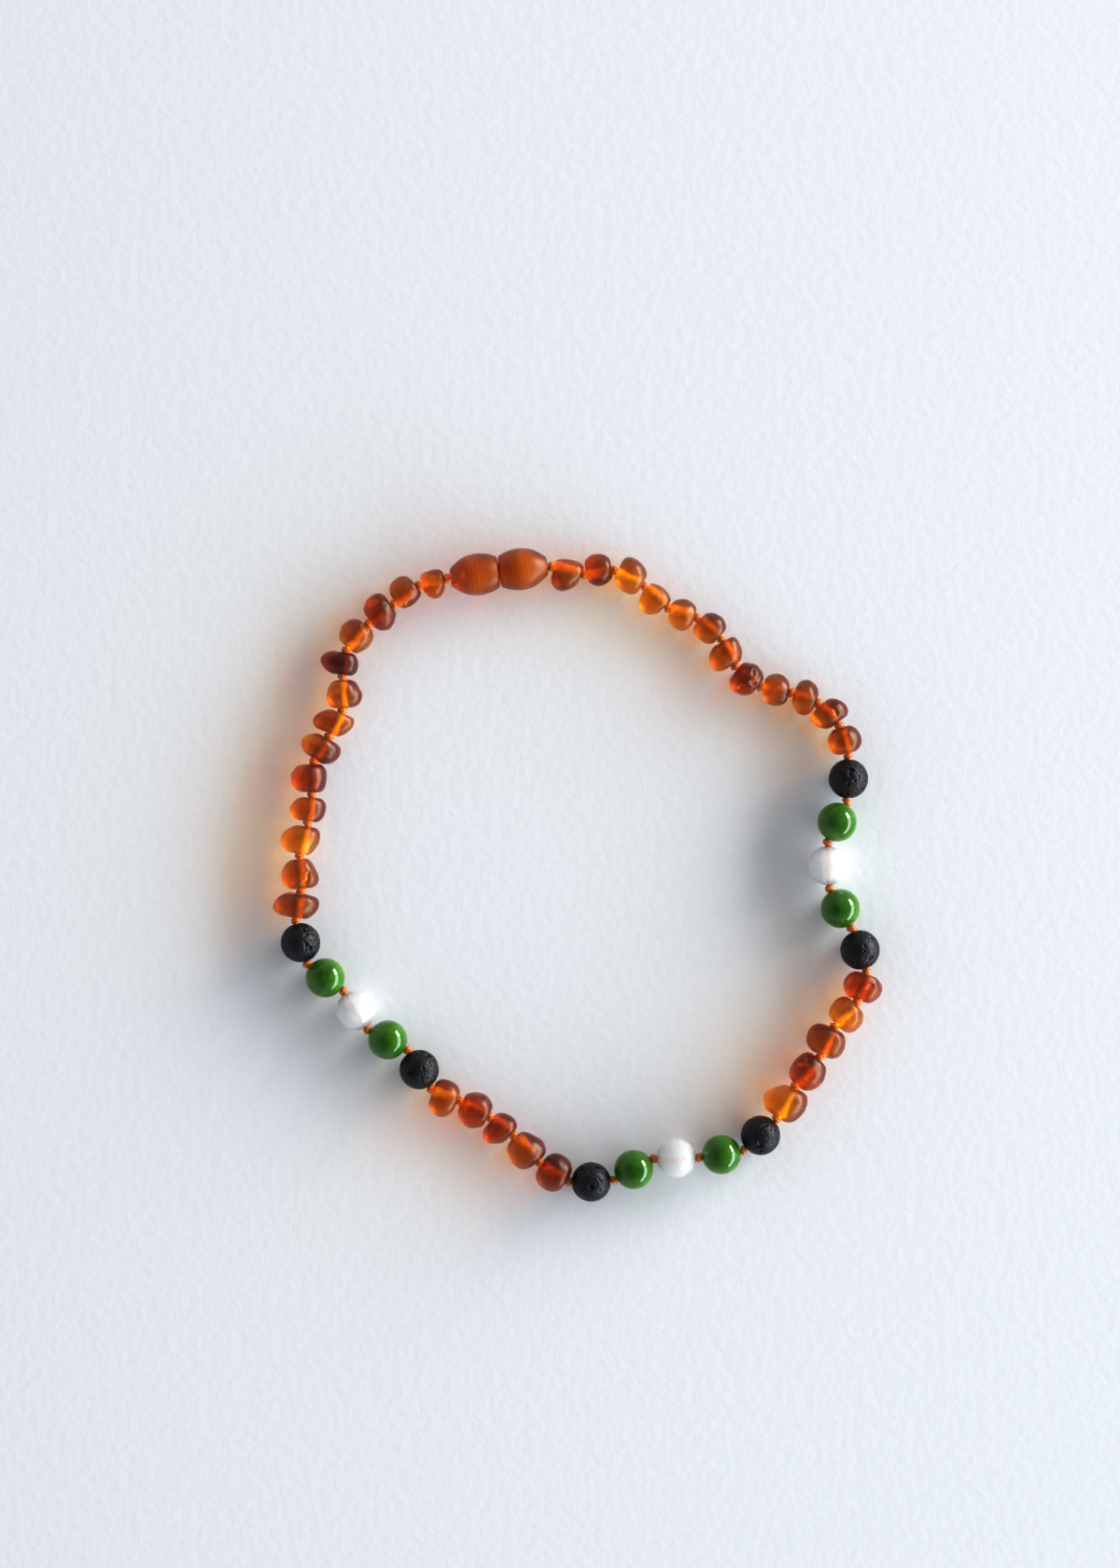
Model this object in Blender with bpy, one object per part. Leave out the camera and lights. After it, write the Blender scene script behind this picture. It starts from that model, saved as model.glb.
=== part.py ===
"""A beaded necklace laid out flat in a closed loop: tumbled amber nuggets and round stones on one knotted thread,
fastened by a two-piece screw clasp. Metres, +Z up, the floor at z = 0. Seen from above, the clasp lies at the far
side (+Y) and the string is followed clockwise from the clasp's screw half."""

import math
from collections import namedtuple

import bmesh
import bpy
from mathutils import Matrix, Vector

for stale in list(bpy.data.objects):
    bpy.data.objects.remove(stale)

# Sizes in metres
STONE_DIAMETER = 0.0060
NUGGET_LENGTH = 0.0046
NUGGET_WIDTH = 0.0053
THREAD_DIAMETER = 0.0007
CLEARANCE = 0.0003
KNOT_DIAMETER = 0.0015
KNOT_LENGTH = 0.0006
KNOT_SPACE = 0.0011
CLASP_HALF_LENGTH = 0.0074
CLASP_DIAMETER = 0.0064
CLASP_FACE_DIAMETER = 0.0042
CLASP_TIP_DIAMETER = 0.0026
STUD_DIAMETER = 0.0022
STUD_LENGTH = 0.0028
STUD_RIDGE = 0.00015
THREAD_END_DEPTH = 0.0024

# Shares and counts
NUGGET_TALL = 1.0
NUGGET_SIDES = 12
STONE_SIDES = 12
CLASP_SIDES = 16
CLASP_HEADING = 7
STUD_RIDGES = 4

BORE_RADIUS = THREAD_DIAMETER / 2 + CLEARANCE

# One row for each bead. Heading is the thread's direction in plan, in degrees from +X. For the nuggets, along and
# across are shares of the nugget sizes, aside shifts the body off the thread to the left as a share of its width,
# lean slants it forwards on the left, taper widens its front end and point narrows its left side.
Bead = namedtuple("Bead", "kind heading along across aside lean taper point", defaults=(1, 1, 0, 0, 0, 0))
BEADS = (
    Bead("amber_cognac", -17, 1.00, 0.96, -0.15, 0.15, 0.00, -0.15),
    Bead("amber_cherry", 12, 0.90, 0.92, 0.08, 0.00, 0.00, -0.25),
    Bead("amber_honey", -30, 1.00, 1.02, 0.05, -0.15, -0.05, -0.15),
    Bead("amber_honey", -45, 0.92, 0.90, -0.13, 0.00, 0.10, -0.15),
    Bead("amber_honey", -16, 0.90, 0.92, -0.06, 0.00, 0.05, 0.05),
    Bead("amber_cognac", -42, 0.94, 0.92, 0.00, 0.08, 0.00, 0.05),
    Bead("amber_cognac", -66, 0.90, 1.05, -0.10, -0.22, 0.00, 0.00),
    Bead("amber_cherry", -39, 0.95, 1.00, -0.08, 0.05, -0.10, -0.05),
    Bead("amber_cognac", -8, 0.88, 0.92, 0.00, 0.00, 0.00, 0.08),
    Bead("amber_cognac", -22, 0.82, 1.00, 0.00, -0.12, 0.00, 0.00),
    Bead("amber_cognac", -46, 0.86, 1.06, 0.00, 0.22, 0.00, -0.10),
    Bead("amber_cognac", -75, 0.94, 1.00, 0.00, 0.00, 0.00, 0.00),
    Bead("lava", -92),
    Bead("jade", -118),
    Bead("quartz", -88),
    Bead("jade", -60),
    Bead("lava", -70),
    Bead("amber_cherry", -109, 0.96, 1.14, 0.00, 0.00, 0.00, 0.00),
    Bead("amber_honey", -136, 0.98, 1.06, 0.02, 0.05, 0.00, 0.05),
    Bead("amber_cognac", -115, 1.04, 1.16, -0.03, 0.05, 0.00, 0.08),
    Bead("amber_cherry", -132, 1.18, 1.02, 0.02, 0.05, 0.00, 0.00),
    Bead("amber_honey", -119, 1.16, 1.22, -0.03, -0.12, 0.00, -0.30),
    Bead("lava", -136),
    Bead("jade", -172),
    Bead("quartz", -180),
    Bead("jade", -150),
    Bead("lava", -178),
    Bead("amber_cherry", 146, 1.06, 1.12, 0.00, 0.00, 0.00, 0.05),
    Bead("amber_cognac", 133, 1.16, 1.04, 0.06, 0.00, -0.20, 0.00),
    Bead("amber_cherry", 143, 0.86, 1.02, 0.12, 0.16, 0.00, 0.00),
    Bead("amber_cherry", 152, 1.06, 1.04, 0.04, 0.00, -0.05, 0.05),
    Bead("amber_cognac", 160, 0.94, 1.10, 0.09, 0.00, 0.00, 0.00),
    Bead("lava", 118),
    Bead("jade", 156),
    Bead("quartz", 120),
    Bead("jade", 146),
    Bead("lava", 105),
    Bead("amber_cognac", 78, 0.86, 1.30, 0.04, -0.20, 0.00, 0.00),
    Bead("amber_cognac", 95, 1.04, 1.04, 0.02, 0.00, -0.26, 0.00),
    Bead("amber_honey", 76, 1.00, 1.10, 0.08, -0.20, 0.00, 0.00),
    Bead("amber_cognac", 82, 0.84, 1.05, 0.06, -0.12, 0.00, 0.10),
    Bead("amber_cherry", 90, 1.00, 1.05, 0.10, 0.00, 0.00, 0.05),
    Bead("amber_cognac", 57, 0.86, 1.16, 0.02, -0.12, 0.00, 0.10),
    Bead("amber_cognac", 62, 0.82, 1.10, 0.08, -0.30, 0.00, 0.00),
    Bead("amber_cognac", 93, 0.98, 1.00, -0.04, 0.00, -0.20, 0.00),
    Bead("amber_cherry", 84, 0.80, 1.10, 0.10, 0.05, 0.00, 0.00),
    Bead("amber_honey", 49, 1.02, 1.00, 0.04, 0.00, 0.00, 0.05),
    Bead("amber_cherry", 37, 0.94, 1.06, 0.06, 0.12, 0.00, -0.25),
    Bead("amber_cognac", 40, 0.92, 0.92, 0.12, 0.00, 0.00, 0.00),
    Bead("amber_cognac", 12, 0.80, 0.85, -0.09, 0.00, 0.00, -0.25),
)

# A nugget's rings, from its middle to the rim of the drilled mouth: share of the half length, share of the half width.
# The mouth lies a little inside the rounded end, where the knot nests.
MOUTH_SHARE = 0.87
NUGGET_RINGS = ((0.30, 1.00), (0.78, 0.76), (0.96, 0.44))
# A round stone's rings, as angles from its axis in degrees.
STONE_RING_ANGLES = (80, 60, 43, 27)
# The clasp half's outside from the thread's tip to the face that meets the other half: share of the half's length,
# and share of the way from the nearest end's radius to the full radius.
CLASP_TIP_SHARES = ((0.00, 0.0), (0.09, 0.28), (0.20, 0.61), (0.34, 0.88), (0.50, 1.0))
CLASP_FACE_SHARES = ((0.62, 1.0), (0.76, 0.84), (0.88, 0.60), (0.96, 0.27), (1.00, 0.0))

# Slot: base colour, roughness, transmission
FINISHES = {
    "amber_honey": ((0.72, 0.26, 0.02), 0.35, 0.4),
    "amber_cognac": ((0.50, 0.10, 0.01), 0.35, 0.4),
    "amber_cherry": ((0.20, 0.025, 0.01), 0.35, 0.3),
    "lava": ((0.015, 0.016, 0.018), 0.85, 0.0),
    "jade": ((0.05, 0.16, 0.01), 0.12, 0.1),
    "quartz": ((0.86, 0.87, 0.88), 0.12, 0.4),
    "clasp_resin": ((0.40, 0.08, 0.01), 0.4, 0.3),
    "waxed_thread": ((0.62, 0.13, 0.01), 0.7, 0.0),
}


def finish(slot):
    material = bpy.data.materials.get(slot)
    if material:
        return material
    colour, roughness, transmission = FINISHES[slot]
    material = bpy.data.materials.new(slot)
    material.use_nodes = True
    shader = material.node_tree.nodes["Principled BSDF"]
    shader.inputs["Base Color"].default_value = (*colour, 1)
    shader.inputs["Roughness"].default_value = roughness
    shader.inputs["Transmission Weight"].default_value = transmission
    return material


def turned(profile, sides, closed):
    """The profile of (x, radius) points turned once about X, its flat facets at those radii and one of them lowest."""
    mesh = bmesh.new()
    reach = 1 / math.cos(math.pi / sides)
    points = [mesh.verts.new((x, 0, radius * reach)) for x, radius in profile]
    followers = points[1:] + points[:1] if closed else points[1:]
    edges = [mesh.edges.new(pair) for pair in zip(points, followers)]
    full_turn = 2 * math.pi
    bmesh.ops.spin(mesh, geom=points + edges, axis=(1, 0, 0), angle=full_turn, steps=sides, use_merge=True)
    bmesh.ops.remove_doubles(mesh, verts=mesh.verts, dist=1e-7)
    bmesh.ops.rotate(mesh, verts=mesh.verts, matrix=Matrix.Rotation(math.pi / sides, 3, "X"))
    bmesh.ops.recalc_face_normals(mesh, faces=mesh.faces)
    for face in mesh.faces:
        face.smooth = True
    return mesh


def placed(name, mesh, slot):
    data = bpy.data.meshes.new(name)
    mesh.to_mesh(data)
    mesh.free()
    data.materials.append(finish(slot))
    piece = bpy.data.objects.new(name, data)
    bpy.context.scene.collection.objects.link(piece)
    return piece


def nugget(row):
    """A tumbled nugget about its own thread: (mesh, half the distance between its mouths, height of its bore)."""
    half_length = row.along * NUGGET_LENGTH / 2
    half_width = row.across * NUGGET_WIDTH / 2
    half_height = NUGGET_TALL * (half_length + half_width) / 2
    front = [(x * half_length, share * half_width) for x, share in NUGGET_RINGS]
    mouth = [(MOUTH_SHARE * half_length, BORE_RADIUS)]
    back = [(-x, radius) for x, radius in reversed(front + mouth)]
    mesh = turned(back + front + mouth, NUGGET_SIDES, closed=True)
    for vert in mesh.verts:
        x, y, z = vert.co
        across = y * (1 + row.taper * x / half_length)
        along = x * (1 - row.point * y / half_width)
        aside = 2 * row.aside * half_width
        shaped = Vector((along + row.lean * across, across + aside, z * half_height / half_width))
        # The bore and its mouths stay round and straight, and the shaping grows towards the widest rings
        outwards = (math.hypot(y, z) - BORE_RADIUS) / (half_width - BORE_RADIUS)
        vert.co = vert.co.lerp(shaped, min(1, outwards))
    return mesh, MOUTH_SHARE * half_length, half_height


def stone():
    """A round drilled stone about its own bore."""
    radius = STONE_DIAMETER / 2
    widest = math.sin(math.radians(STONE_RING_ANGLES[0]))
    front = [
        (radius * math.cos(math.radians(angle)), radius * math.sin(math.radians(angle)) / widest)
        for angle in STONE_RING_ANGLES
    ]
    mouth = math.sqrt(radius**2 - BORE_RADIUS**2)
    front.append((mouth, BORE_RADIUS))
    back = [(-x, r) for x, r in reversed(front)]
    return turned(back + front, STONE_SIDES, closed=True), mouth, radius


def clasp_outside():
    """A clasp half's outside from its thread tip at x = 0 to its meeting face."""
    full = CLASP_DIAMETER / 2
    tip = CLASP_TIP_DIAMETER / 2
    face = CLASP_FACE_DIAMETER / 2
    rings = [(x * CLASP_HALF_LENGTH, tip + share * (full - tip)) for x, share in CLASP_TIP_SHARES]
    rings += [(x * CLASP_HALF_LENGTH, face + share * (full - face)) for x, share in CLASP_FACE_SHARES]
    return rings


def thread_bore():
    """The blind hole for the thread's end, from its bottom on the axis to the clasp half's tip."""
    depth = THREAD_END_DEPTH + CLEARANCE
    return [(depth, 0), (depth, BORE_RADIUS), (0, BORE_RADIUS)]


def ridged(radius, ridge, start, length):
    """Screw ridges along a stud or a socket wall, as evenly spaced steps between two radii."""
    step = length / (2 * STUD_RIDGES)
    return [(start + i * step, radius + ridge * (i % 2)) for i in range(2 * STUD_RIDGES + 1)]


def clasp_half(with_stud):
    outside = thread_bore() + clasp_outside()
    face = CLASP_HALF_LENGTH - CLEARANCE / 2
    outside = [(min(x, face), radius) for x, radius in outside]
    if with_stud:
        stud = ridged(STUD_DIAMETER / 2, STUD_RIDGE, face, STUD_LENGTH)
        return turned(outside + stud + [(face + STUD_LENGTH, 0)], CLASP_SIDES, closed=False)
    depth = STUD_LENGTH + 2 * CLEARANCE
    wall = ridged(STUD_DIAMETER / 2 + CLEARANCE, STUD_RIDGE, face - depth, depth)
    return turned(outside + wall[::-1] + [(face - depth, 0)], CLASP_SIDES, closed=False)


def direction(heading):
    return Vector((math.cos(math.radians(heading)), math.sin(math.radians(heading)), 0))


# The pieces in string order from the clasp's screw half, each with half its reach along the thread
Piece = namedtuple("Piece", "objects heading half_reach height")
pieces = []
for number, row in enumerate(BEADS, start=1):
    body, half_reach, height = nugget(row) if row.kind.startswith("amber") else stone()
    bead = placed(f"bead_{number:02d}_{row.kind}", body, row.kind)
    pieces.append(Piece([bead], row.heading, half_reach, height))

# The clasp closes the string: its socket half follows the last bead and its screw half leads to the first
socket_half = placed("clasp_socket_half", clasp_half(with_stud=False), "clasp_resin")
screw_half = placed("clasp_screw_half", clasp_half(with_stud=True), "clasp_resin")
clasp = Piece([socket_half, screw_half], CLASP_HEADING, CLASP_HALF_LENGTH, CLASP_DIAMETER / 2)
pieces.append(clasp)

# The walk along the string. What is left open at the end is shared out evenly, so that the loop always closes.
centres = []
at = Vector((0, 0, 0))
before = clasp
for piece in pieces:
    bend = (direction(before.heading) + direction(piece.heading)).normalized()
    at = at + KNOT_SPACE * bend + piece.half_reach * direction(piece.heading)
    centres.append(at.copy())
    at = at + piece.half_reach * direction(piece.heading)
    before = piece
for index, centre in enumerate(centres, start=1):
    centre -= at * index / len(centres)

# Set down on the floor, with the middle of the whole outline at the origin
for piece, centre in zip(pieces, centres):
    for body in piece.objects:
        turn = Matrix.Rotation(math.radians(piece.heading), 4, "Z")
        body.matrix_world = Matrix.Translation(centre + Vector((0, 0, piece.height))) @ turn
for body, end in ((socket_half, -1), (screw_half, 1)):
    tip = centres[-1] + end * CLASP_HALF_LENGTH * direction(CLASP_HEADING)
    half_turn = math.pi if end > 0 else 0
    turn = Matrix.Rotation(math.radians(CLASP_HEADING) + half_turn, 4, "Z")
    body.matrix_world = Matrix.Translation(tip + Vector((0, 0, clasp.height))) @ turn
corners = [body.matrix_world @ vert.co for piece in pieces for body in piece.objects for vert in body.data.vertices]
middle = Vector(
    [(min(corner[axis] for corner in corners) + max(corner[axis] for corner in corners)) / 2 for axis in (0, 1)]
).to_3d()
for piece, centre in zip(pieces, centres):
    centre -= middle
    for body in piece.objects:
        body.location -= middle

# The thread runs straight through each bore and swells into a knot in every space between two mouths
mouths = []
for piece, centre in zip(pieces, centres):
    level = centre + Vector((0, 0, piece.height))
    reach = piece.half_reach * direction(piece.heading)
    mouths.append((level - reach, level + reach))
path = []
knot_share = KNOT_DIAMETER / THREAD_DIAMETER
first_end = mouths[-1][1] - THREAD_END_DEPTH * direction(CLASP_HEADING)
path.append((first_end, 1))
leaving = mouths[-1][1]
for entering, next_leaving in mouths:
    knot_middle = (entering + leaving) / 2
    level_run = (entering - leaving) * Vector((1, 1, 0))
    half_knot = level_run.normalized() * KNOT_LENGTH / 2
    path.append((leaving, 1))
    path.append((knot_middle - half_knot, 1))
    path.append((knot_middle - half_knot / 2, knot_share))
    path.append((knot_middle + half_knot / 2, knot_share))
    path.append((knot_middle + half_knot, 1))
    path.append((entering, 1))
    leaving = next_leaving
path.append((mouths[-1][0] + THREAD_END_DEPTH * direction(CLASP_HEADING), 1))

thread_curve = bpy.data.curves.new("thread", "CURVE")
thread_curve.dimensions = "3D"
thread_curve.twist_mode = "Z_UP"
thread_curve.bevel_depth = THREAD_DIAMETER / 2
thread_curve.bevel_resolution = 1
thread_curve.use_fill_caps = True
thread_curve.materials.append(finish("waxed_thread"))
line = thread_curve.splines.new("POLY")
line.points.add(len(path) - 1)
for point, (place, share) in zip(line.points, path):
    point.co = (*place, 1)
    point.radius = share
thread = bpy.data.objects.new("thread", thread_curve)
bpy.context.scene.collection.objects.link(thread)
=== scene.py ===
import math
import random
from collections import namedtuple

import bmesh
import bpy
import numpy as np
from mathutils import Matrix, Vector, noise


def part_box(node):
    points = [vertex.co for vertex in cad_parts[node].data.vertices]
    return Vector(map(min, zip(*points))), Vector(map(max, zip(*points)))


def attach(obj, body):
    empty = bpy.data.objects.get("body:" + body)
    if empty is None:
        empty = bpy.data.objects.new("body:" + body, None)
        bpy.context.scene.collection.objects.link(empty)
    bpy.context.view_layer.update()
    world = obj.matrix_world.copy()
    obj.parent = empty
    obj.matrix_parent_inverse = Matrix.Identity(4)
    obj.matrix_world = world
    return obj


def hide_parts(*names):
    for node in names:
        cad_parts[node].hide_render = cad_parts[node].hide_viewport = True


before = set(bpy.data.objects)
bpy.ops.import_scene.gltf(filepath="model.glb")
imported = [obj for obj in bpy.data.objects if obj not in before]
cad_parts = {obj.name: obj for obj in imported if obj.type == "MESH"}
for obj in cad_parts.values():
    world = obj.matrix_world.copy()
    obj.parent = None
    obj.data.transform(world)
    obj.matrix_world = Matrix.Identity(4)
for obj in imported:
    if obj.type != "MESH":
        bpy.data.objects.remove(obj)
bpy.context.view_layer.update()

# The string's layout
# Fifty drilled beads and a two-piece clasp lie on one thread. Every piece is looked up here in string order,
# with its own frame: x along its bore in the thread's direction, z up, the origin at the middle of its bore.
UP = Vector((0, 0, 1))
SAME_CORNER = 1e-6
NEARLY_LONGEST = 0.975
CLASP_HALVES = ("clasp_socket_half", "clasp_screw_half")


def merged(node):
    """A CAD node's mesh with the corners that its file keeps apart joined again."""
    mesh = bmesh.new()
    mesh.from_mesh(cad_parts[node].data)
    bmesh.ops.remove_doubles(mesh, verts=mesh.verts, dist=SAME_CORNER)
    return mesh


def bore_of(node):
    """(middle, a vector along the bore, half its length) of a bead, whose longest edges wall its bore."""
    mesh = merged(node)
    longest = max(edge.calc_length() for edge in mesh.edges)
    walls = [edge for edge in mesh.edges if edge.calc_length() > NEARLY_LONGEST * longest]
    lead = walls[0].verts[1].co - walls[0].verts[0].co
    along = Vector((0, 0, 0))
    middle = Vector((0, 0, 0))
    for edge in walls:
        run = edge.verts[1].co - edge.verts[0].co
        along += run if run.dot(lead) > 0 else -run
        middle += (edge.verts[0].co + edge.verts[1].co) / 2 / len(walls)
    along.z = 0
    half = along.length / len(walls) / 2
    mesh.free()
    return middle, along.normalized(), half


def own_frame(middle, along):
    return Matrix.Translation(middle) @ Matrix((along, UP.cross(along), UP)).transposed().to_4x4()


bead_names = sorted(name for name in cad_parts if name.startswith("bead_"))
clasp_points = np.array([vert.co for half in CLASP_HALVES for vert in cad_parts[half].data.vertices])
clasp_middle = clasp_points.mean(axis=0)
clasp_along = np.linalg.svd(clasp_points - clasp_middle, full_matrices=False)[2][0]
clasp_reach = (clasp_points - clasp_middle) @ clasp_along
clasp_middle = Vector(clasp_middle + clasp_along * (clasp_reach.min() + clasp_reach.max()) / 2)
clasp_half_length = float(clasp_reach.max() - clasp_reach.min()) / 2
clasp_along = Vector(clasp_along) * (1 if clasp_along[0] > 0 else -1)

frames = {"clasp": own_frame(clasp_middle, clasp_along)}
mouths = [(clasp_middle - clasp_half_length * clasp_along, clasp_middle + clasp_half_length * clasp_along)]
for name in bead_names:
    middle, along, half = bore_of(name)
    if along.dot(middle - mouths[-1][1]) < 0:
        along = -along
    frames[name] = own_frame(middle, along)
    mouths.append((middle - half * along, middle + half * along))

# Round stones
# Fifteen drilled balls turned and tumbled from stone, all of one size, in three groups. Each is a true ball
# with a softened rim at its two mouths.
BORE_SHARE = 0.22
RIM_SHARE = 0.03
FULL_TURN = 2 * math.pi
MILLIMETRES = 1000


def ball(node, steps, rings):
    """(mesh, radius) of a drilled ball of the CAD stone's size about its bore, turned from a fine profile."""
    low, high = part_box(node)
    radius = (high[2] - low[2]) / 2
    bore = BORE_SHARE * radius
    rim = RIM_SHARE * radius
    mouth = math.sqrt(radius**2 - bore**2)
    inner = mouth - 2 * rim
    lip = bore + rim / 3
    first = math.asin((bore + rim) / radius)
    arc = [
        (-radius * math.cos(angle), radius * math.sin(angle))
        for angle in np.linspace(first, math.pi - first, rings)
    ]
    profile = [(-inner, bore), (-mouth, lip), *arc, (mouth, lip), (inner, bore)]
    mesh = bmesh.new()
    points = [mesh.verts.new((x, 0, r)) for x, r in profile]
    edges = [mesh.edges.new(pair) for pair in zip(points, points[1:] + points[:1])]
    bmesh.ops.spin(mesh, geom=points + edges, axis=(1, 0, 0), angle=FULL_TURN, steps=steps, use_merge=True)
    bmesh.ops.recalc_face_normals(mesh, faces=mesh.faces)
    return mesh, radius


def show(name, mesh, materials, node, place=None, depths=None):
    """Puts a finished bmesh into the scene, from its own frame into the CAD's, as a node's visible piece. The
    place in its own frame, in millimetres, stays on the mesh as the attribute own, and how deep the colour is
    at each vertex as the attribute depth, both for the material."""
    own = [vert.co * MILLIMETRES for vert in mesh.verts]
    data = bpy.data.meshes.new(name)
    mesh.to_mesh(data)
    mesh.free()
    data.shade_smooth()
    layer = data.attributes.new("own", "FLOAT_VECTOR", "POINT")
    layer.data.foreach_set("vector", [value for co in own for value in co])
    if depths:
        layer = data.attributes.new("depth", "FLOAT", "POINT")
        layer.data.foreach_set("value", depths)
    data.transform(place or Matrix.Identity(4))
    for material in materials:
        data.materials.append(material)
    piece = bpy.data.objects.new(name, data)
    bpy.context.scene.collection.objects.link(piece)
    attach(piece, "root")
    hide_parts(node)


def polished_balls(kind, material):
    for name in bead_names:
        if name.endswith(kind):
            mesh, _ = ball(name, steps=64, rings=40)
            show(f"{name}_ball", mesh, [material], name, place=frames[name])


def new_material(name, **principled):
    """(material, its tree, its Principled shader), the shader's plain values given with _ for a space."""
    made = bpy.data.materials.new(name)
    made.use_nodes = True
    shader = made.node_tree.nodes["Principled BSDF"]
    for key, value in principled.items():
        shader.inputs[key.replace("_", " ")].default_value = value
    return made, made.node_tree, shader


def add(tree, kind, inputs=None, **settings):
    """A shader node with its settings, each input given as a value or as the socket that feeds it."""
    made = tree.nodes.new("ShaderNode" + kind)
    for key, value in settings.items():
        setattr(made, key, value)
    for key, value in (inputs or {}).items():
        if isinstance(value, bpy.types.NodeSocket):
            tree.links.new(value, made.inputs[key])
        else:
            made.inputs[key].default_value = value
    return made


def reckon(tree, operation, *values, clamped=False):
    """The result of a Math node, each value given as a number or as the socket that feeds it."""
    return add(tree, "Math", dict(enumerate(values)), operation=operation, use_clamp=clamped).outputs["Value"]


def ramp(tree, factor, *stops):
    made = add(tree, "ValToRGB", {"Fac": factor})
    while len(made.color_ramp.elements) < len(stops):
        made.color_ramp.elements.new(0.5)
    for element, (place, colour) in zip(made.color_ramp.elements, stops):
        element.position = place
        element.color = (*colour, 1)
    return made.outputs["Color"]


def attribute(tree, name, output):
    return add(tree, "Attribute", attribute_name=name).outputs[output]


# Jade: polished green stone, cloudy and slightly translucent, with a glassy surface. It is painted paler
# edge on, a painted glow of light through its edges
PAINTED_EDGE_GLOW = 0.35
jade, tree, shader = new_material(
    "jade", Roughness=0.03, IOR=1.46, Specular_Tint=(0.9, 1, 0.88, 1), Coat_Weight=0.15, Coat_Roughness=0.02,
    Subsurface_Weight=0.35, Subsurface_Scale=0.0008, Subsurface_Radius=(0.35, 1.0, 0.12),
)
place = add(tree, "TexCoord").outputs["Object"]
cloud = add(tree, "TexNoise", {"Vector": place, "Scale": 420, "Detail": 5, "Roughness": 0.6})
edge_on = add(tree, "LayerWeight", {"Blend": 0.4}).outputs["Facing"]
clouds_and_painted_edge_glow = reckon(tree, "MULTIPLY_ADD", edge_on, PAINTED_EDGE_GLOW, cloud.outputs["Fac"])
green = ramp(tree, clouds_and_painted_edge_glow, (0.36, (0.013, 0.084, 0.001)), (0.8, (0.070, 0.205, 0.014)))
tree.links.new(green, shader.inputs["Base Color"])
polished_balls("jade", jade)

# Quartz: polished milky stone, through which the thread shows as a pink streak
STREAK_REACH = 0.8
STREAK_STRENGTH = 0.45
quartz, tree, shader = new_material(
    "quartz", Roughness=0.04, IOR=1.42, Transmission_Weight=0.3, Coat_Weight=0.4, Coat_Roughness=0.02,
    Subsurface_Weight=1.0, Subsurface_Scale=0.012, Subsurface_Anisotropy=0.8,
    Subsurface_Radius=(1.0, 0.95, 0.95),
)
place = add(tree, "TexCoord").outputs["Object"]
veil = add(tree, "TexNoise", {"Vector": place, "Scale": 420, "Detail": 5})
across = add(tree, "SeparateXYZ", {0: attribute(tree, "own", "Vector")}).outputs["Y"]
off_bore = reckon(tree, "ABSOLUTE", across)
streak = add(
    tree, "MapRange",
    {"Value": off_bore, "From Max": STREAK_REACH, "To Min": STREAK_STRENGTH, "To Max": 0},
    interpolation_type="SMOOTHSTEP",
)
clear = reckon(tree, "SUBTRACT", veil.outputs["Fac"], streak.outputs["Result"])
milk = ramp(tree, clear, (0.05, (1.0, 0.68, 0.62)), (0.35, (1.0, 0.99, 1.0)), (0.7, (1.0, 1.0, 1.0)))
tree.links.new(milk, shader.inputs["Base Color"])
polished_balls("quartz", quartz)

# Lava: matt black volcanic stone, its open pores cut through by the grinding of the ball. Sizes are shares of
# the ball's radius. Layers of noise are given as fall-off, how much finer each is than the last, and number
PORES = 110
LARGE_PORES = 16
LARGE_PORE = (0.07, 0.13)
SMALL_PORE = (0.03, 0.06)
PORE_DEPTH = 0.85
PORE_STRETCH = 0.5
PORE_SQUARENESS = 4
PORE_RAGGEDNESS = 0.45
RAGGED_SCALE = 3000
GRAIN_DEPTH = 0.02
GRAIN_SCALE = 700
GRAIN_LAYERS = (1.0, 2.0, 4)
OUTER_SKIN = 0.97
PAINTED_PORE_SHADE = 5
MOST_PAINTED_PORE_SHADE = 0.5
lava, tree, shader = new_material("lava", Roughness=0.42, Specular_IOR_Level=0.34)
place = add(tree, "TexCoord").outputs["Object"]
grain = add(tree, "TexNoise", {"Vector": place, "Scale": 1500, "Detail": 6, "Roughness": 0.65}).outputs["Fac"]
bubbles = add(tree, "TexVoronoi", {"Vector": place, "Scale": 1900, "Randomness": 1.0}).outputs["Distance"]
pinholes = add(
    tree, "MapRange", {"Value": bubbles, "From Min": 0.12, "From Max": 0.42}, interpolation_type="SMOOTHSTEP"
).outputs["Result"]
# Painted shade: the pores and the pinholes are painted darker than the stone, for the shade that falls in
# them
pore_shade_painted = attribute(tree, "depth", "Fac")
shaded = reckon(tree, "SUBTRACT", reckon(tree, "MULTIPLY", grain, pinholes), pore_shade_painted, clamped=True)
grey = ramp(tree, shaded, (0.1, (0.0008, 0.0008, 0.0009)), (0.6, (0.010, 0.011, 0.015)))
tree.links.new(grey, shader.inputs["Base Color"])
relief = reckon(tree, "ADD", pinholes, grain)
rough = add(tree, "Bump", {"Height": relief, "Strength": 0.6, "Distance": 0.00009})
tree.links.new(rough.outputs["Normal"], shader.inputs["Normal"])


def any_way(chance):
    return Vector((chance.gauss(0, 1), chance.gauss(0, 1), chance.gauss(0, 1))).normalized()


def pore_depth(point, pores):
    """How far the ball's surface is sunk at a point, by its grain or by the deepest pore there."""
    out = point.normalized()
    ragged = PORE_RAGGEDNESS * noise.noise(point * RAGGED_SCALE)
    sunk = max(0, GRAIN_DEPTH * noise.fractal(point * GRAIN_SCALE, *GRAIN_LAYERS))
    for aim, stretch, size in pores:
        apart = out - aim
        apart = apart - PORE_STRETCH * apart.dot(stretch) * stretch
        near = apart.length / size + ragged
        if near < 1:
            sunk = max(sunk, PORE_DEPTH * size * (1 - max(0, near) ** PORE_SQUARENESS) ** 0.5)
    return sunk


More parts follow.
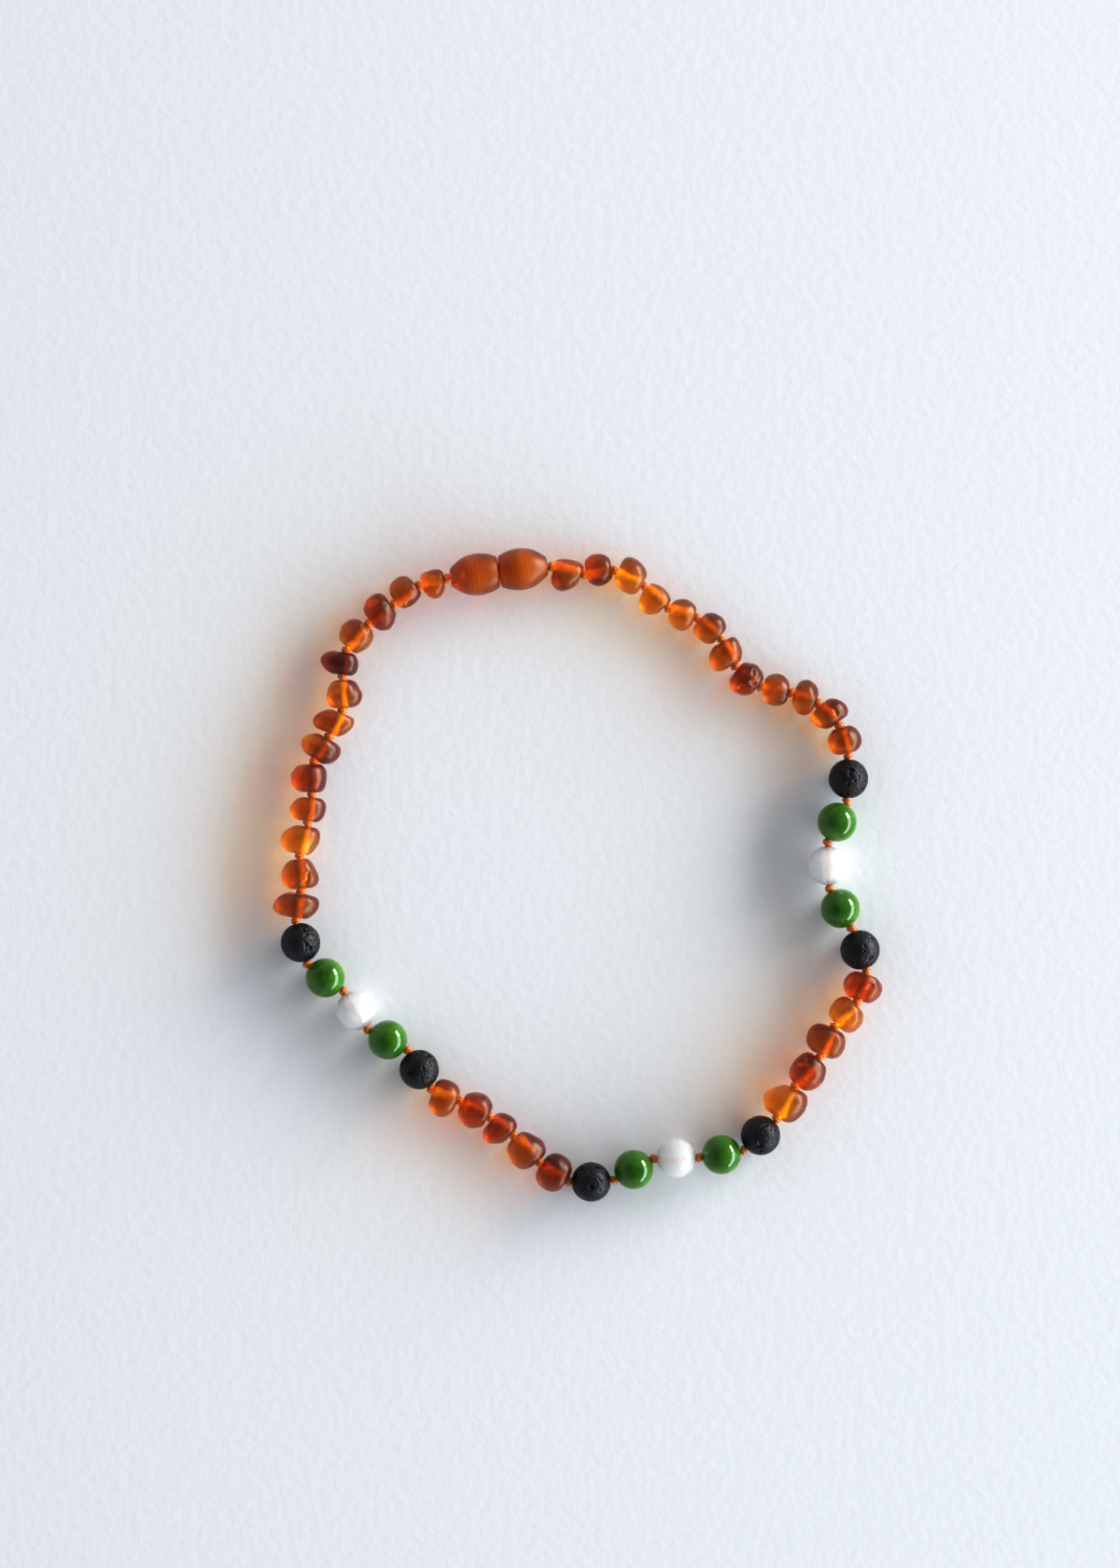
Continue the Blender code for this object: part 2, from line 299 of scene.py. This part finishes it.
for name in bead_names:
    if name.endswith("lava"):
        mesh, radius = ball(name, steps=144, rings=96)
        chance = random.Random(name)
        pores = []
        for number in range(PORES):
            sizes = LARGE_PORE if number < LARGE_PORES else SMALL_PORE
            pores.append((any_way(chance), any_way(chance), chance.uniform(*sizes)))
        depths = []
        for vert in mesh.verts:
            sunk = pore_depth(vert.co, pores) if vert.co.length > OUTER_SKIN * radius else 0
            # Painted shade in each pore, darker where it is sunk deeper
            depths.append(min(MOST_PAINTED_PORE_SHADE, PAINTED_PORE_SHADE * sunk))
            vert.co -= vert.co.normalized() * sunk * radius
        show(f"{name}_ball", mesh, [lava], name, place=frames[name], depths=depths)

# Amber nuggets
# Thirty-five drilled pieces of fossil resin, tumbled to rounded pebbles with a satin skin. Light goes right
# through them and their thick parts are deeper in colour. Their glow on the side away from the light is a
# painted glow in the skin's colour, and their rims have a painted shade.
RIGHT_ANGLE = math.pi / 2


def rounded(node, place, levels):
    """A CAD node's coarse form made smooth and fine, in its own frame."""
    mesh = merged(node)
    mesh.transform(place.inverted())
    height = max(vert.co.z for vert in mesh.verts)
    bmesh.ops.join_triangles(
        mesh, faces=mesh.faces, angle_face_threshold=RIGHT_ANGLE / 2, angle_shape_threshold=RIGHT_ANGLE
    )
    data = bpy.data.meshes.new("coarse")
    mesh.to_mesh(data)
    coarse = bpy.data.objects.new("coarse", data)
    bpy.context.scene.collection.objects.link(coarse)
    smoothing = coarse.modifiers.new("smoothing", "SUBSURF")
    smoothing.levels = smoothing.render_levels = levels
    fine = coarse.evaluated_get(bpy.context.evaluated_depsgraph_get()).to_mesh()
    mesh.clear()
    mesh.from_mesh(fine)
    bpy.data.objects.remove(coarse)
    bpy.data.meshes.remove(data)
    grown = height / max(vert.co.z for vert in mesh.verts)
    bmesh.ops.scale(mesh, vec=(grown, grown, grown), verts=mesh.verts)
    return mesh


# What all the resins share: clouds within, as a drift in the depth of colour, and the skin's fine frosting
satin = bpy.data.node_groups.new("clouds_and_frost", "ShaderNodeTree")
satin.interface.new_socket("Cloudiness", in_out="INPUT", socket_type="NodeSocketFloat")
satin.interface.new_socket("Drift", in_out="OUTPUT", socket_type="NodeSocketFloat")
satin.interface.new_socket("Normal", in_out="OUTPUT", socket_type="NodeSocketVector")
asked = satin.nodes.new("NodeGroupInput")
given = satin.nodes.new("NodeGroupOutput")
place = add(satin, "TexCoord").outputs["Object"]
cloud = add(satin, "TexNoise", {"Vector": place, "Scale": 330, "Detail": 5, "Distortion": 1.0})
swing = add(
    satin, "MapRange",
    {"Value": cloud.outputs["Fac"], "From Min": 0.3, "From Max": 0.7, "To Min": -1.1, "To Max": 0.9},
)
drift = reckon(satin, "MULTIPLY", swing.outputs["Result"], asked.outputs["Cloudiness"])
pitting = add(satin, "TexNoise", {"Vector": place, "Scale": 2600, "Detail": 4})
frost = add(satin, "Bump", {"Height": pitting.outputs["Fac"], "Strength": 0.15, "Distance": 0.00005})
satin.links.new(drift, given.inputs["Drift"])
satin.links.new(frost.outputs["Normal"], given.inputs["Normal"])

SHADOW_TINT = (0.90, 0.80, 0.45, 1)
MEASURED_THROUGH = 0.005
OVER_GREATEST = 1.02


def resin(name, skin_deep, skin_light, kept, transmission, roughness, cloudy, rim):
    """(material, tree, socket for the depth of colour) of a clear resin with a satin skin. Its skin goes from
    light to deep by clouds, and is painted deeper towards its rim as a painted shade seen edge on. Kept is
    the share of red, green and blue light that is left after 5 mm of it."""
    made, tree, shader = new_material(
        name, Roughness=roughness, IOR=1.54, Transmission_Weight=transmission,
        Specular_IOR_Level=0.3, Specular_Tint=(1, 0.76, 0.58, 1),
        Sheen_Weight=0.2, Sheen_Roughness=0.45, Sheen_Tint=(1, 0.84, 0.78, 1),
    )
    skin = add(tree, "Group", {"Cloudiness": cloudy}, node_tree=satin)
    # Painted shade: the skin is painted deeper edge on, towards its rim
    edge_on = add(tree, "LayerWeight", {"Blend": 0.4}).outputs["Facing"]
    clouds_and_painted_rim_shade = reckon(tree, "MULTIPLY_ADD", edge_on, rim, skin.outputs["Drift"])
    clouded_and_painted_light = add(tree, "Math", {1: clouds_and_painted_rim_shade}, operation="ADD", use_clamp=True)
    colour = ramp(tree, clouded_and_painted_light.outputs["Value"], (0, skin_light), (1, skin_deep))
    tree.links.new(colour, shader.inputs["Base Color"])
    tree.links.new(skin.outputs["Normal"], shader.inputs["Normal"])
    is_shadow = add(tree, "LightPath").outputs["Is Shadow Ray"]
    passing = add(tree, "BsdfTransparent", {"Color": SHADOW_TINT}).outputs["BSDF"]
    either = add(tree, "MixShader", {0: is_shadow, 1: shader.outputs["BSDF"], 2: passing})
    tree.links.new(either.outputs["Shader"], tree.nodes["Material Output"].inputs["Surface"])
    loss = [-math.log(share) / MEASURED_THROUGH for share in kept]
    density = max(loss) * OVER_GREATEST
    passed = (*(1 - value / density for value in loss), 1)
    body = add(tree, "VolumeAbsorption", {"Color": passed, "Density": density})
    tree.links.new(body.outputs["Volume"], tree.nodes["Material Output"].inputs["Volume"])
    return made, tree, clouded_and_painted_light.inputs[0]


Tone = namedtuple("Tone", "skin_deep skin_light kept")
TONES = {
    "amber_honey": Tone((0.24, 0.028, 0.0008), (0.80, 0.38, 0.010), (0.80, 0.52, 0.03)),
    "amber_cognac": Tone((0.16, 0.008, 0.0004), (0.76, 0.29, 0.004), (0.76, 0.42, 0.02)),
    "amber_cherry": Tone((0.14, 0.004, 0.0003), (0.80, 0.21, 0.003), (0.76, 0.32, 0.01)),
}
ambers = {}
for slot, tone in TONES.items():
    ambers[slot], tree, depth = resin(slot, *tone, transmission=0.9, roughness=0.34, cloudy=0.4, rim=0.8)
    tree.links.new(attribute(tree, "depth", "Fac"), depth)

# The drilled bore is frosted and scored, so it catches the light as a bright streak inside the nugget
drilled, tree, shader = new_material("amber_bore", Roughness=0.6)
place = add(tree, "TexCoord").outputs["Object"]
scoring = add(tree, "TexNoise", {"Vector": place, "Scale": 1100, "Detail": 3})
uneven = add(tree, "MapRange", {"Value": scoring.outputs["Fac"], "To Min": -0.5, "To Max": 0.5})
dulled = reckon(tree, "ADD", attribute(tree, "depth", "Fac"), uneven.outputs["Result"], clamped=True)
wall = ramp(tree, dulled, (0, (1.0, 0.94, 0.40)), (0.4, (0.95, 0.50, 0.05)), (1, (0.26, 0.05, 0.004)))
tree.links.new(wall, shader.inputs["Base Color"])

# How deep each nugget's skin is in colour, the side in degrees of plan that is painted deeper, mostly the
# side towards the light so that the far side is a painted glow, how much deeper it is painted there, how
# bright its frosted bore is, and how many chips its skin has
Nugget = namedtuple("Nugget", "depth side contrast bore chips")
NUGGETS = {
    1: Nugget(0.32, 270, 0.5, 0.6, 0),
    2: Nugget(0.60, 315, 0.6, 0.8, 0),
    3: Nugget(0.17, 60, 0.6, 0.8, 0),
    4: Nugget(0.28, 20, 0.5, 0.5, 0),
    5: Nugget(0.36, 60, 0.6, 0.7, 0),
    6: Nugget(0.34, 45, 0.8, 0.3, 0),
    7: Nugget(0.50, 90, 0.4, 0.4, 0),
    8: Nugget(0.64, 60, 0.5, 0.1, 3),
    9: Nugget(0.28, 0, 0.8, 0.3, 0),
    10: Nugget(0.42, 45, 0.5, 0.3, 0),
    11: Nugget(0.78, 45, 0.5, 0.7, 1),
    12: Nugget(0.64, 45, 0.6, 0.4, 0),
    18: Nugget(0.32, 90, 0.4, 0.2, 1),
    19: Nugget(0.22, 90, 0.4, 0.8, 0),
    20: Nugget(0.54, 100, 0.6, 0.5, 0),
    21: Nugget(0.50, 90, 0.5, 0.2, 3),
    22: Nugget(0.24, 0, 0.7, 1.0, 0),
    28: Nugget(0.82, 60, 0.6, 0.4, 0),
    29: Nugget(0.58, 20, 0.8, 0.4, 0),
    30: Nugget(0.70, 30, 0.5, 0.4, 0),
    31: Nugget(0.36, 60, 0.4, 0.2, 1),
    32: Nugget(0.40, 90, 0.5, 0.9, 0),
    38: Nugget(0.60, 90, 0.6, 0.3, 0),
    39: Nugget(0.37, 45, 0.4, 0.3, 3),
    40: Nugget(0.38, 60, 0.6, 0.8, 0),
    41: Nugget(0.50, 0, 0.6, 0.8, 0),
    42: Nugget(0.60, 0, 0.4, 0.1, 0),
    43: Nugget(0.55, 340, 0.7, 0.2, 0),
    44: Nugget(0.40, 180, 0.4, 1.1, 0),
    45: Nugget(0.50, 30, 0.5, 1.4, 1),
    46: Nugget(1.30, 90, 0.3, 0.0, 0),
    47: Nugget(0.42, 90, 0.6, 0.4, 1),
    48: Nugget(0.55, 60, 0.4, 0.1, 1),
    49: Nugget(0.50, 0, 0.6, 0.4, 1),
    50: Nugget(0.30, 60, 0.6, 0.7, 0),
}
PALER_OVERALL = 0.12
STRONGER_PAINTED_GLOW = 1.2
NOISE_SPREAD = 10
LUMP_SCALE = 400
LUMP_LAYERS = (0.9, 2.1, 2)
LUMP_HEIGHT = 0.00017
LUMPS_START = 0.0009
LUMPS_FADE = 0.001
CHIPS_SPREAD = 0.7
CHIPS_LEAST_UP = 0.5
CHIP_SIZE = (0.13, 0.2)
CHIP_STRETCH = 0.55
CHIP_ROUNDING = 3
CHIP_DEPTH = 0.00022
CHIP_PALENESS = 0.5
LINING_RADIUS = 0.00078
LINING_NARROWED = 0.22
NARROWING_RUN = 3


def drawn_chips(chance, count):
    """The aim, stretch and size of each chip, by chance, all on the upper side."""
    chips = []
    for _ in range(count):
        x = chance.uniform(-CHIPS_SPREAD, CHIPS_SPREAD)
        y = chance.uniform(-CHIPS_SPREAD, CHIPS_SPREAD)
        aim = Vector((x, y, chance.uniform(CHIPS_LEAST_UP, 1)))
        stretch = Vector((chance.gauss(0, 1), chance.gauss(0, 1), 0))
        chips.append((aim.normalized(), stretch.normalized(), chance.uniform(*CHIP_SIZE)))
    return chips


def lumps_and_chips(mesh, floor_level, drift, chips):
    """Weathers a nugget clear of its bore and down to the floor at most. Gives back its chipped vertices."""
    chipped = set()
    for vert in mesh.verts:
        off_bore = math.hypot(vert.co.y, vert.co.z) - LUMPS_START
        lump = noise.fractal(vert.co * LUMP_SCALE + drift, *LUMP_LAYERS) * LUMP_HEIGHT
        for aim, stretch, size in chips:
            apart = vert.co.normalized() - aim
            near = (apart - CHIP_STRETCH * apart.dot(stretch) * stretch).length / size
            if near < 1:
                lump -= CHIP_DEPTH * (1 - near**CHIP_ROUNDING)
                chipped.add(vert)
        vert.co += vert.normal * lump * min(1, max(0, off_bore / LUMPS_FADE))
        vert.co.z = max(vert.co.z, floor_level)
    mesh.normal_update()
    return chipped


def line_bore(mesh):
    """Gives the bore's wall its own material and narrows it between its mouths. Gives back its vertices."""
    for face in mesh.faces:
        out = face.calc_center_median()
        out.x = 0
        face.material_index = int(out.length < LINING_RADIUS and face.normal.dot(out) < 0)
    lining = {vert for face in mesh.faces if face.material_index for vert in face.verts}
    mouth = max(abs(vert.co.x) for vert in lining)
    for vert in lining:
        narrowed = 1 - LINING_NARROWED * min(1, NARROWING_RUN * (1 - abs(vert.co.x) / mouth))
        vert.co.y *= narrowed
        vert.co.z *= narrowed
    return lining


def colour_depths(mesh, turned, nugget, lining, chipped):
    """How deep the skin's colour is at each vertex, painted deeper towards one side and paler on the far side
    as a painted glow, or how dull the bore's wall is there.
    """
    angle = math.radians(nugget.side)
    side = Vector((math.cos(angle), math.sin(angle), 0))
    reach = max(vert.co.length for vert in mesh.verts)
    depths = []
    for vert in mesh.verts:
        # Painted glow and shade: the skin is painted deeper towards the nugget's given side, mostly the side
        # towards the light, and paler on the far side
        toward_painted_shade = (turned @ vert.co).dot(side) / reach
        skin = nugget.depth - PALER_OVERALL + STRONGER_PAINTED_GLOW * nugget.contrast * toward_painted_shade
        if vert in chipped:
            skin -= CHIP_PALENESS
        depths.append(1 - nugget.bore if vert in lining else skin)
    return depths


for name in bead_names:
    number, slot = name.removeprefix("bead_").split("_", 1)
    if slot in ambers:
        nugget = NUGGETS[int(number)]
        mesh = rounded(name, frames[name], 3 if nugget.chips else 2)
        chance = random.Random(name)
        drift = Vector((chance.random(), chance.random(), chance.random())) * NOISE_SPREAD
        chips = drawn_chips(chance, nugget.chips)
        chipped = lumps_and_chips(mesh, -frames[name].translation.z, drift, chips)
        lining = line_bore(mesh)
        depths = colour_depths(mesh, frames[name].to_3x3(), nugget, lining, chipped)
        show(f"{name}_nugget", mesh, [ambers[slot], drilled], name, place=frames[name], depths=depths)

# Clasp
# A barrel of two egg-shaped halves moulded in amber-coloured resin. One half's ridged stud is screwed into
# the other half's socket, and the thread's ends are held in their tips. Ribs are painted as glints in the
# middle of each half, where the screw threads inside show through, and that middle is painted paler as a
# painted glow. The ribs' sizes are in millimetres.
RIB_SPACING = 0.66
RIBS_MIDDLE = 4.0
RIBS_REACH = 1.92
RIBS_SEEN = (0.14, 0.05)
RIBS_PAINTED_GLOW = 0.33
CLASP_DEPTH = 0.40
SEAM_REACH = 0.0005
STUD_RADIUS = 0.0013
SEAM_CLOSED = 0.0001
clasp_resin, tree, depth = resin(
    "clasp_resin", (0.13, 0.005, 0.0004), (0.86, 0.22, 0.003), (0.72, 0.34, 0.02),
    transmission=0.6, roughness=0.38, cloudy=0.12, rim=0.9,
)
own = add(tree, "SeparateXYZ", {0: attribute(tree, "own", "Vector")}).outputs["X"]
along_clasp = reckon(tree, "ABSOLUTE", own)
crest = reckon(tree, "SINE", reckon(tree, "MULTIPLY", along_clasp, FULL_TURN / RIB_SPACING))
off_middle = reckon(tree, "ABSOLUTE", reckon(tree, "SUBTRACT", along_clasp, RIBS_MIDDLE))
zone = add(
    tree, "MapRange", {"Value": off_middle, "From Min": RIBS_REACH, "From Max": 0},
    interpolation_type="SMOOTHSTEP",
)
seen = add(
    tree, "MapRange",
    {"Value": own, "From Min": -1, "From Max": 1, "To Min": RIBS_SEEN[0], "To Max": RIBS_SEEN[1]},
)
# Painted glints where the screw threads show through the resin, over a middle painted paler as a painted glow
painted_rib_glints = reckon(tree, "MULTIPLY_ADD", crest, seen.outputs["Result"], -RIBS_PAINTED_GLOW)
tree.links.new(reckon(tree, "MULTIPLY_ADD", zone.outputs["Result"], painted_rib_glints, CLASP_DEPTH), depth)

for half in CLASP_HALVES:
    mesh = rounded(half, frames["clasp"], 2)
    for vert in mesh.verts:
        if abs(vert.co.x) < SEAM_REACH and math.hypot(vert.co.y, vert.co.z) > STUD_RADIUS:
            vert.co.x -= math.copysign(SEAM_CLOSED, vert.co.x)
    show(f"{half}_barrel", mesh, [clasp_resin], half, place=frames["clasp"])

# Thread and knots
# One waxed cord runs through every bore and is knotted in every space between two mouths, so that no bead
# rubs its neighbour. Its two ends are held in the clasp's tips.
CORD_RADIUS = 0.00033
HELD_IN_TIP = 0.0024
TUBE_FINENESS = 2
waxed, tree, shader = new_material("waxed_thread", Roughness=0.42, Coat_Weight=0.5, Coat_Roughness=0.25)
place = add(tree, "TexCoord").outputs["Object"]
fibre = add(tree, "TexNoise", {"Vector": place, "Scale": 3500, "Detail": 4}).outputs["Fac"]
tone = ramp(tree, fibre, (0.3, (0.40, 0.07, 0.006)), (0.72, (0.92, 0.32, 0.05)))
tree.links.new(tone, shader.inputs["Base Color"])
nap = add(tree, "Bump", {"Height": fibre, "Strength": 0.4, "Distance": 0.00005})
tree.links.new(nap.outputs["Normal"], shader.inputs["Normal"])


def tube(name, paths, radius):
    """A bmesh of round tubes along these paths of points."""
    curve = bpy.data.curves.new(name, "CURVE")
    curve.dimensions = "3D"
    curve.bevel_depth = radius
    curve.bevel_resolution = TUBE_FINENESS
    curve.use_fill_caps = True
    for path in paths:
        line = curve.splines.new("POLY")
        line.points.add(len(path) - 1)
        for point, at in zip(line.points, path):
            point.co = (*at, 1)
    holder = bpy.data.objects.new(name, curve)
    mesh = bmesh.new()
    mesh.from_mesh(holder.to_mesh())
    bpy.data.objects.remove(holder)
    return mesh


in_tip = HELD_IN_TIP * clasp_along
run = [mouths[0][1] - in_tip, mouths[0][1]]
for entering, leaving in mouths[1:]:
    run += [entering, leaving]
run += [mouths[0][0], mouths[0][0] + in_tip]
show("thread_cord", tube("cord", [run], CORD_RADIUS), [waxed], "thread")

# Each knot is the cord wound nearly three times about itself, drawn tight, aslant and fullest in the middle
KNOT_RADIUS = 0.00056
KNOT_REACH = 0.00034
KNOT_STRAND = 0.00024
KNOT_TURNS = 2.7
KNOT_POINTS = 41
KNOT_ROUNDING = 0.6
LEAST_SLANT = 0.2
MOST_SLANT = 0.5
KNOTS_DIFFER = 0.08
STRING_SEED = 51
knots = []
chance = random.Random(STRING_SEED)
leaving = mouths[0][1]
for entering, next_leaving in mouths[1:] + mouths[:1]:
    middle = (entering + leaving) / 2
    along = ((entering - leaving) * Vector((1, 1, 0))).normalized()
    side = UP.cross(along)
    start = chance.uniform(0, FULL_TURN)
    slant = Matrix.Rotation(chance.choice((-1, 1)) * chance.uniform(LEAST_SLANT, MOST_SLANT), 3, UP)
    radius = chance.uniform(1 - KNOTS_DIFFER, 1 + KNOTS_DIFFER) * KNOT_RADIUS
    coil = [leaving]
    for share in np.linspace(-1, 1, KNOT_POINTS):
        angle = start + share * KNOT_TURNS * math.pi
        bulge = radius * math.sqrt(1 - KNOT_ROUNDING * share**2)
        around = side * (math.cos(angle) * bulge) + UP * (math.sin(angle) * bulge)
        coil.append(middle + slant @ (around + along * share * KNOT_REACH))
    knots.append([*coil, entering])
    leaving = next_leaving
show("thread_knots", tube("knots", knots, KNOT_STRAND), [waxed], "thread")

# Setting
# A sheet of plain white paper under soft daylight, which comes in low from the right. The camera looks
# straight down.
SHEET_HALF = 1.5
paper, tree, shader = new_material("paper", Roughness=0.85, Base_Color=(0.80, 0.81, 0.83, 1))
place = add(tree, "TexCoord").outputs["Object"]
tooth = add(tree, "TexNoise", {"Vector": place, "Scale": 650, "Detail": 5})
dents = add(tree, "Bump", {"Height": tooth.outputs["Fac"], "Strength": 0.16, "Distance": 0.0003})
tree.links.new(dents.outputs["Normal"], shader.inputs["Normal"])
sheet = bmesh.new()
bmesh.ops.create_grid(sheet, x_segments=1, y_segments=1, size=SHEET_HALF)
sheet_data = bpy.data.meshes.new("floor")
sheet.to_mesh(sheet_data)
sheet.free()
sheet_data.materials.append(paper)
floor = bpy.data.objects.new("floor", sheet_data)
bpy.context.scene.collection.objects.link(floor)

LIGHT_DISTANCE = 2.0


def pane(name, low, high, brightness, colour):
    """A pane of daylight that faces the necklace. Low and high are its corners as (y, z), in metres."""
    light = bpy.data.lights.new(name, "AREA")
    light.shape = "RECTANGLE"
    light.size = high[0] - low[0]
    light.size_y = high[1] - low[1]
    light.energy = brightness * math.pi * light.size * light.size_y
    light.color = colour
    holder = bpy.data.objects.new(name, light)
    holder.location = (LIGHT_DISTANCE, (low[0] + high[0]) / 2, (low[1] + high[1]) / 2)
    holder.rotation_euler = (RIGHT_ANGLE, 0, RIGHT_ANGLE)
    bpy.context.scene.collection.objects.link(holder)


pane("window_near", (0.57, 0.18), (2.14, 1.04), brightness=19, colour=(1.0, 0.99, 0.97))
pane("window_far", (-3.4, 0.18), (0.46, 1.0), brightness=10.5, colour=(0.90, 0.96, 1.0))

# The light all round is dimmer overhead than at the sides
sky = bpy.data.worlds.new("room")
sky.use_nodes = True
tree = sky.node_tree
aim = add(tree, "SeparateXYZ", {0: add(tree, "TexCoord").outputs["Generated"]})
walls = ramp(
    tree, aim.outputs["Z"], (0, (0.80, 0.83, 0.89)), (0.5, (0.68, 0.70, 0.73)), (0.9, (0.20, 0.205, 0.21))
)
tree.links.new(walls, tree.nodes["Background"].inputs["Color"])
bpy.context.scene.world = sky
bpy.context.scene.view_settings.view_transform = "Standard"
bpy.context.scene.view_settings.gamma = 0.78
bpy.context.scene.view_settings.exposure = 0.06

EYE_HEIGHT = 0.60
FRAME_HEIGHT = 0.2394
FRAME_MIDDLE = (-0.0027, 0.0138)
view = bpy.data.cameras.new("camera")
eye = bpy.data.objects.new("camera", view)
view.lens = view.sensor_width * EYE_HEIGHT / FRAME_HEIGHT
eye.location = (*FRAME_MIDDLE, EYE_HEIGHT)
bpy.context.scene.collection.objects.link(eye)
bpy.context.scene.camera = eye
